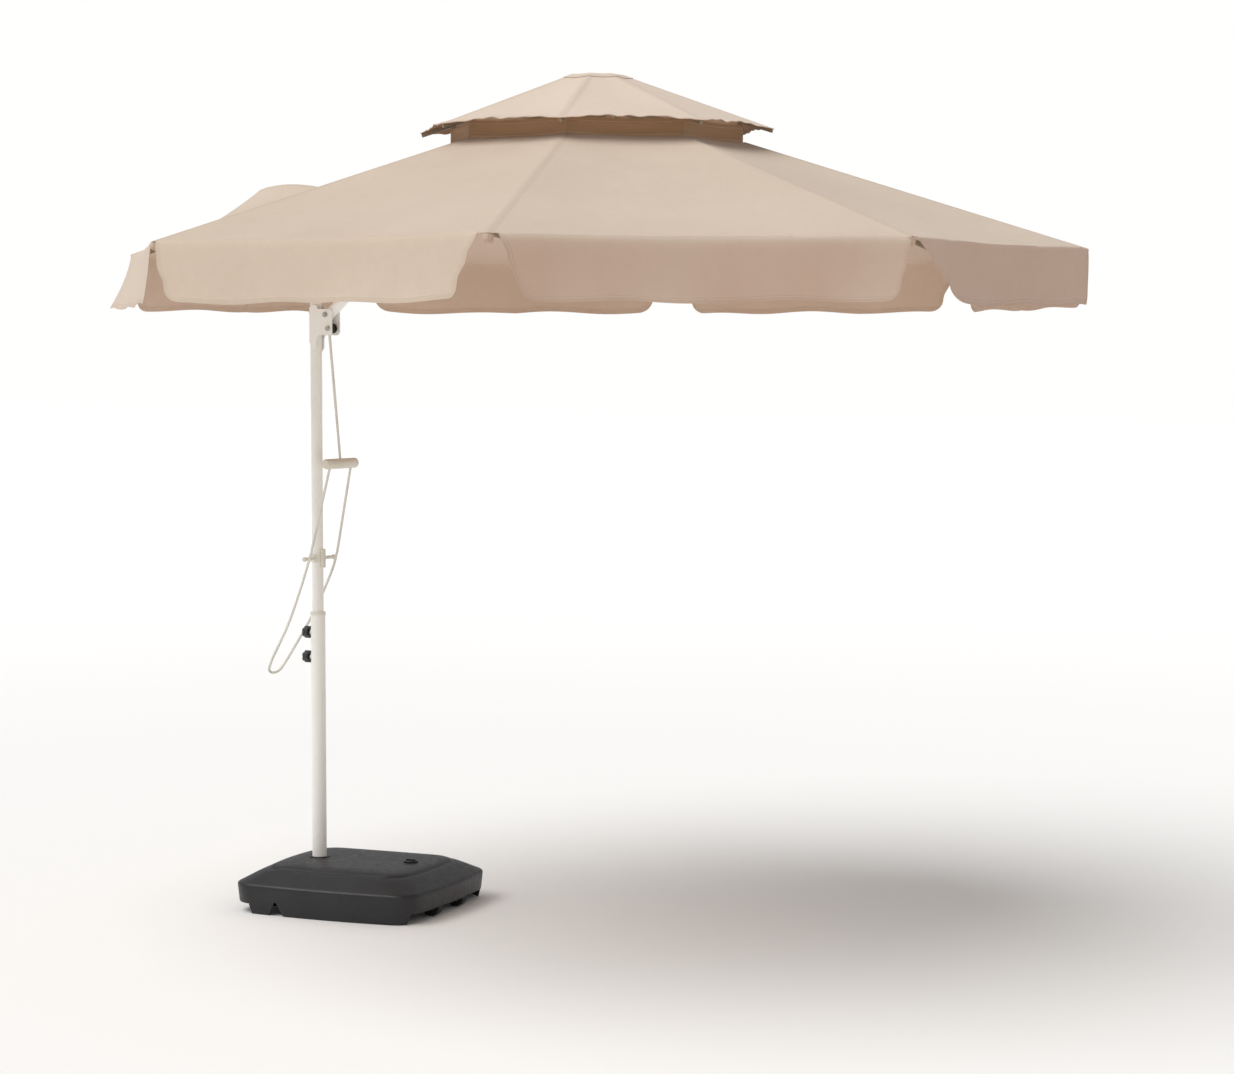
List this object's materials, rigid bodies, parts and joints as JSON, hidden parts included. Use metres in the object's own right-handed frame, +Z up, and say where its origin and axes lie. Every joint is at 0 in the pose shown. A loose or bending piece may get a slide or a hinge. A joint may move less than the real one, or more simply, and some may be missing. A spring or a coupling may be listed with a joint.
{
  "type": "cantilever patio umbrella with base",
  "caption": "Cantilever patio umbrella: octagonal double-roof fabric canopy on a folding rib frame, side mast with pull rope, curved arm and a filled plastic base.",
  "frame": {"origin": "centre of the mast's axis on the floor, at the foot of the base's column", "axes": "+Z up along the mast, +X along the arm from the mast to the canopy's middle"},
  "size_m": [2.7716, 2.7716, 2.677],
  "materials": {
    "cream_metal": "satin",
    "cream_plastic": "satin",
    "canopy_fabric": "matte",
    "black_plastic": "satin",
    "ballast": "matte",
    "rope": "matte",
    "steel": "satin",
    "wheel_rubber": "matte"
  },
  "bodies": {
    "base": {"base_tank": "black_plastic", "ballast_fill": "ballast", "mast_socket": "black_plastic", "mast_lower_tube": "cream_metal", "mast_collar": "cream_plastic", "wheel_axle": "steel"},
    "mast": {"mast_upper_tube": "cream_metal", "mast_bushes": "black_plastic", "mast_cap": "cream_plastic", "mast_bracket": "cream_metal", "bracket_bolts": "steel", "arm_tube": "cream_metal", "arm_end": "cream_metal", "upper_hub": "cream_plastic", "centre_post": "cream_metal", "rope_cleat": "cream_plastic", "pull_handle": "cream_plastic", "pull_rope": "rope", "rope_loop": "rope", "main_canopy": "canopy_fabric", "top_canopy": "canopy_fabric"},
    "pulley": {"rope_pulley": "black_plastic"},
    "fill_cap": {"fill_cap": "black_plastic"},
    "knob_1": {"clamp_knob_1": "black_plastic"},
    "knob_2": {"clamp_knob_2": "black_plastic"},
    "wheel_1": {"wheel_1": "wheel_rubber"},
    "wheel_2": {"wheel_2": "wheel_rubber"},
    "lower_hub": {"lower_hub": "cream_plastic"},
    "rib_1": {"main_rib_1": "cream_metal"},
    "strut_1": {"strut_1": "cream_metal"},
    "roof_rib_1": {"roof_rib_1": "cream_metal"},
    "link_1": {"roof_link_1": "cream_plastic"},
    "rib_2": {"main_rib_2": "cream_metal"},
    "strut_2": {"strut_2": "cream_metal"},
    "roof_rib_2": {"roof_rib_2": "cream_metal"},
    "link_2": {"roof_link_2": "cream_plastic"},
    "rib_3": {"main_rib_3": "cream_metal"},
    "strut_3": {"strut_3": "cream_metal"},
    "roof_rib_3": {"roof_rib_3": "cream_metal"},
    "link_3": {"roof_link_3": "cream_plastic"},
    "rib_4": {"main_rib_4": "cream_metal"},
    "strut_4": {"strut_4": "cream_metal"},
    "roof_rib_4": {"roof_rib_4": "cream_metal"},
    "link_4": {"roof_link_4": "cream_plastic"},
    "rib_5": {"main_rib_5": "cream_metal"},
    "strut_5": {"strut_5": "cream_metal"},
    "roof_rib_5": {"roof_rib_5": "cream_metal"},
    "link_5": {"roof_link_5": "cream_plastic"},
    "rib_6": {"main_rib_6": "cream_metal"},
    "strut_6": {"strut_6": "cream_metal"},
    "roof_rib_6": {"roof_rib_6": "cream_metal"},
    "link_6": {"roof_link_6": "cream_plastic"},
    "rib_7": {"main_rib_7": "cream_metal"},
    "strut_7": {"strut_7": "cream_metal"},
    "roof_rib_7": {"roof_rib_7": "cream_metal"},
    "link_7": {"roof_link_7": "cream_plastic"},
    "rib_8": {"main_rib_8": "cream_metal"},
    "strut_8": {"strut_8": "cream_metal"},
    "roof_rib_8": {"roof_rib_8": "cream_metal"},
    "link_8": {"roof_link_8": "cream_plastic"}
  },
  "joints": [
    {"name": "mast_turn", "type": "hinge", "parent": "base", "child": "mast", "pos_m": [0, 0, 0.9], "axis": [0, 0, 1], "continuous": true},
    {"name": "fill_cap_turn", "type": "hinge", "parent": "base", "child": "fill_cap", "pos_m": [0.31885, 0.08059, 0.15], "axis": [0, 0, 1], "range_deg": [0, 720]},
    {"name": "wheel_1_spin", "type": "hinge", "parent": "base", "child": "wheel_1", "pos_m": [0.46493, 0.00075, 0.031], "axis": [-0.1736, 0.9848, 0], "continuous": true},
    {"name": "wheel_2_spin", "type": "hinge", "parent": "base", "child": "wheel_2", "pos_m": [0.43368, 0.17801, 0.031], "axis": [-0.1736, 0.9848, 0], "continuous": true},
    {"name": "clamp_knob_1_turn", "type": "hinge", "parent": "base", "child": "knob_1", "pos_m": [-0.04, 0, 0.8995], "axis": [1, 0, 0], "range_deg": [-900, 0]},
    {"name": "clamp_knob_2_turn", "type": "hinge", "parent": "base", "child": "knob_2", "pos_m": [-0.04, 0, 0.8178], "axis": [1, 0, 0], "range_deg": [-900, 0]},
    {"name": "rope_pulley_spin", "type": "hinge", "parent": "mast", "child": "pulley", "pos_m": [0.067, 0, 1.906], "axis": [0, 1, 0], "continuous": true},
    {"name": "rib_1_fold", "type": "hinge", "parent": "mast", "child": "rib_1", "pos_m": [1.14719, 0.01913, 2.58952], "axis": [-0.3827, 0.9239, 0], "range_deg": [0, 64], "deforming": ["main_canopy", "top_canopy"]},
    {"name": "rib_2_fold", "type": "hinge", "parent": "mast", "child": "rib_2", "pos_m": [1.12013, 0.04619, 2.58952], "axis": [-0.9239, 0.3827, 0], "range_deg": [0, 64]},
    {"name": "rib_3_fold", "type": "hinge", "parent": "mast", "child": "rib_3", "pos_m": [1.08187, 0.04619, 2.58952], "axis": [-0.9239, -0.3827, 0], "range_deg": [0, 64]},
    {"name": "rib_4_fold", "type": "hinge", "parent": "mast", "child": "rib_4", "pos_m": [1.05481, 0.01913, 2.58952], "axis": [-0.3827, -0.9239, 0], "range_deg": [0, 64]},
    {"name": "rib_5_fold", "type": "hinge", "parent": "mast", "child": "rib_5", "pos_m": [1.05481, -0.01913, 2.58952], "axis": [0.3827, -0.9239, 0], "range_deg": [0, 64]},
    {"name": "rib_6_fold", "type": "hinge", "parent": "mast", "child": "rib_6", "pos_m": [1.08187, -0.04619, 2.58952], "axis": [0.9239, -0.3827, 0], "range_deg": [0, 64]},
    {"name": "rib_7_fold", "type": "hinge", "parent": "mast", "child": "rib_7", "pos_m": [1.12013, -0.04619, 2.58952], "axis": [0.9239, 0.3827, 0], "range_deg": [0, 64]},
    {"name": "rib_8_fold", "type": "hinge", "parent": "mast", "child": "rib_8", "pos_m": [1.14719, -0.01913, 2.58952], "axis": [0.3827, 0.9239, 0], "range_deg": [0, 64]},
    {"name": "strut_1_fold", "type": "hinge", "parent": "rib_1", "child": "strut_1", "pos_m": [1.80256, 0.2906, 2.34534], "axis": [-0.3827, 0.9239, 0], "range_deg": [-128, 0]},
    {"name": "strut_2_fold", "type": "hinge", "parent": "rib_2", "child": "strut_2", "pos_m": [1.3916, 0.70156, 2.34534], "axis": [-0.9239, 0.3827, 0], "range_deg": [-128, 0]},
    {"name": "strut_3_fold", "type": "hinge", "parent": "rib_3", "child": "strut_3", "pos_m": [0.8104, 0.70156, 2.34534], "axis": [-0.9239, -0.3827, 0], "range_deg": [-128, 0]},
    {"name": "strut_4_fold", "type": "hinge", "parent": "rib_4", "child": "strut_4", "pos_m": [0.39944, 0.2906, 2.34534], "axis": [-0.3827, -0.9239, 0], "range_deg": [-128, 0]},
    {"name": "strut_5_fold", "type": "hinge", "parent": "rib_5", "child": "strut_5", "pos_m": [0.39944, -0.2906, 2.34534], "axis": [0.3827, -0.9239, 0], "range_deg": [-128, 0]},
    {"name": "strut_6_fold", "type": "hinge", "parent": "rib_6", "child": "strut_6", "pos_m": [0.8104, -0.70156, 2.34534], "axis": [0.9239, -0.3827, 0], "range_deg": [-128, 0]},
    {"name": "strut_7_fold", "type": "hinge", "parent": "rib_7", "child": "strut_7", "pos_m": [1.3916, -0.70156, 2.34534], "axis": [0.9239, 0.3827, 0], "range_deg": [-128, 0]},
    {"name": "strut_8_fold", "type": "hinge", "parent": "rib_8", "child": "strut_8", "pos_m": [1.80256, -0.2906, 2.34534], "axis": [0.3827, 0.9239, 0], "range_deg": [-128, 0]},
    {"name": "lower_hub_level", "type": "hinge", "parent": "strut_1", "child": "lower_hub", "pos_m": [1.14719, 0.01913, 2.10116], "axis": [-0.3827, 0.9239, 0], "range_deg": [0, 64]},
    {"name": "roof_rib_1_fold", "type": "hinge", "parent": "mast", "child": "roof_rib_1", "pos_m": [1.16567, 0.02679, 2.65254], "axis": [-0.3827, 0.9239, 0], "range_deg": [0, 64]},
    {"name": "link_1_fold", "type": "hinge", "parent": "rib_1", "child": "link_1", "pos_m": [1.49941, 0.16503, 2.46844], "axis": [-0.3827, 0.9239, 0], "range_deg": [-64, 0]},
    {"name": "roof_rib_2_fold", "type": "hinge", "parent": "mast", "child": "roof_rib_2", "pos_m": [1.12779, 0.06467, 2.65254], "axis": [-0.9239, 0.3827, 0], "range_deg": [0, 64]},
    {"name": "link_2_fold", "type": "hinge", "parent": "rib_2", "child": "link_2", "pos_m": [1.26603, 0.39841, 2.46844], "axis": [-0.9239, 0.3827, 0], "range_deg": [-64, 0]},
    {"name": "roof_rib_3_fold", "type": "hinge", "parent": "mast", "child": "roof_rib_3", "pos_m": [1.07421, 0.06467, 2.65254], "axis": [-0.9239, -0.3827, 0], "range_deg": [0, 64]},
    {"name": "link_3_fold", "type": "hinge", "parent": "rib_3", "child": "link_3", "pos_m": [0.93597, 0.39841, 2.46844], "axis": [-0.9239, -0.3827, 0], "range_deg": [-64, 0]},
    {"name": "roof_rib_4_fold", "type": "hinge", "parent": "mast", "child": "roof_rib_4", "pos_m": [1.03633, 0.02679, 2.65254], "axis": [-0.3827, -0.9239, 0], "range_deg": [0, 64]},
    {"name": "link_4_fold", "type": "hinge", "parent": "rib_4", "child": "link_4", "pos_m": [0.70259, 0.16503, 2.46844], "axis": [-0.3827, -0.9239, 0], "range_deg": [-64, 0]},
    {"name": "roof_rib_5_fold", "type": "hinge", "parent": "mast", "child": "roof_rib_5", "pos_m": [1.03633, -0.02679, 2.65254], "axis": [0.3827, -0.9239, 0], "range_deg": [0, 64]},
    {"name": "link_5_fold", "type": "hinge", "parent": "rib_5", "child": "link_5", "pos_m": [0.70259, -0.16503, 2.46844], "axis": [0.3827, -0.9239, 0], "range_deg": [-64, 0]},
    {"name": "roof_rib_6_fold", "type": "hinge", "parent": "mast", "child": "roof_rib_6", "pos_m": [1.07421, -0.06467, 2.65254], "axis": [0.9239, -0.3827, 0], "range_deg": [0, 64]},
    {"name": "link_6_fold", "type": "hinge", "parent": "rib_6", "child": "link_6", "pos_m": [0.93597, -0.39841, 2.46844], "axis": [0.9239, -0.3827, 0], "range_deg": [-64, 0]},
    {"name": "roof_rib_7_fold", "type": "hinge", "parent": "mast", "child": "roof_rib_7", "pos_m": [1.12779, -0.06467, 2.65254], "axis": [0.9239, 0.3827, 0], "range_deg": [0, 64]},
    {"name": "link_7_fold", "type": "hinge", "parent": "rib_7", "child": "link_7", "pos_m": [1.26603, -0.39841, 2.46844], "axis": [0.9239, 0.3827, 0], "range_deg": [-64, 0]},
    {"name": "roof_rib_8_fold", "type": "hinge", "parent": "mast", "child": "roof_rib_8", "pos_m": [1.16567, -0.02679, 2.65254], "axis": [0.3827, 0.9239, 0], "range_deg": [0, 64]},
    {"name": "link_8_fold", "type": "hinge", "parent": "rib_8", "child": "link_8", "pos_m": [1.49941, -0.16503, 2.46844], "axis": [0.3827, 0.9239, 0], "range_deg": [-64, 0]}
  ],
  "couplings": [
    {"joint": "rib_2_fold", "follows": "rib_1_fold", "ratio": 1},
    {"joint": "rib_3_fold", "follows": "rib_1_fold", "ratio": 1},
    {"joint": "rib_4_fold", "follows": "rib_1_fold", "ratio": 1},
    {"joint": "rib_5_fold", "follows": "rib_1_fold", "ratio": 1},
    {"joint": "rib_6_fold", "follows": "rib_1_fold", "ratio": 1},
    {"joint": "rib_7_fold", "follows": "rib_1_fold", "ratio": 1},
    {"joint": "rib_8_fold", "follows": "rib_1_fold", "ratio": 1},
    {"joint": "strut_1_fold", "follows": "rib_1_fold", "ratio": -2},
    {"joint": "strut_2_fold", "follows": "rib_1_fold", "ratio": -2},
    {"joint": "strut_3_fold", "follows": "rib_1_fold", "ratio": -2},
    {"joint": "strut_4_fold", "follows": "rib_1_fold", "ratio": -2},
    {"joint": "strut_5_fold", "follows": "rib_1_fold", "ratio": -2},
    {"joint": "strut_6_fold", "follows": "rib_1_fold", "ratio": -2},
    {"joint": "strut_7_fold", "follows": "rib_1_fold", "ratio": -2},
    {"joint": "strut_8_fold", "follows": "rib_1_fold", "ratio": -2},
    {"joint": "lower_hub_level", "follows": "rib_1_fold", "ratio": 1},
    {"joint": "roof_rib_1_fold", "follows": "rib_1_fold", "ratio": 1},
    {"joint": "link_1_fold", "follows": "rib_1_fold", "ratio": -1},
    {"joint": "roof_rib_2_fold", "follows": "rib_1_fold", "ratio": 1},
    {"joint": "link_2_fold", "follows": "rib_1_fold", "ratio": -1},
    {"joint": "roof_rib_3_fold", "follows": "rib_1_fold", "ratio": 1},
    {"joint": "link_3_fold", "follows": "rib_1_fold", "ratio": -1},
    {"joint": "roof_rib_4_fold", "follows": "rib_1_fold", "ratio": 1},
    {"joint": "link_4_fold", "follows": "rib_1_fold", "ratio": -1},
    {"joint": "roof_rib_5_fold", "follows": "rib_1_fold", "ratio": 1},
    {"joint": "link_5_fold", "follows": "rib_1_fold", "ratio": -1},
    {"joint": "roof_rib_6_fold", "follows": "rib_1_fold", "ratio": 1},
    {"joint": "link_6_fold", "follows": "rib_1_fold", "ratio": -1},
    {"joint": "roof_rib_7_fold", "follows": "rib_1_fold", "ratio": 1},
    {"joint": "link_7_fold", "follows": "rib_1_fold", "ratio": -1},
    {"joint": "roof_rib_8_fold", "follows": "rib_1_fold", "ratio": 1},
    {"joint": "link_8_fold", "follows": "rib_1_fold", "ratio": -1}
  ]
}
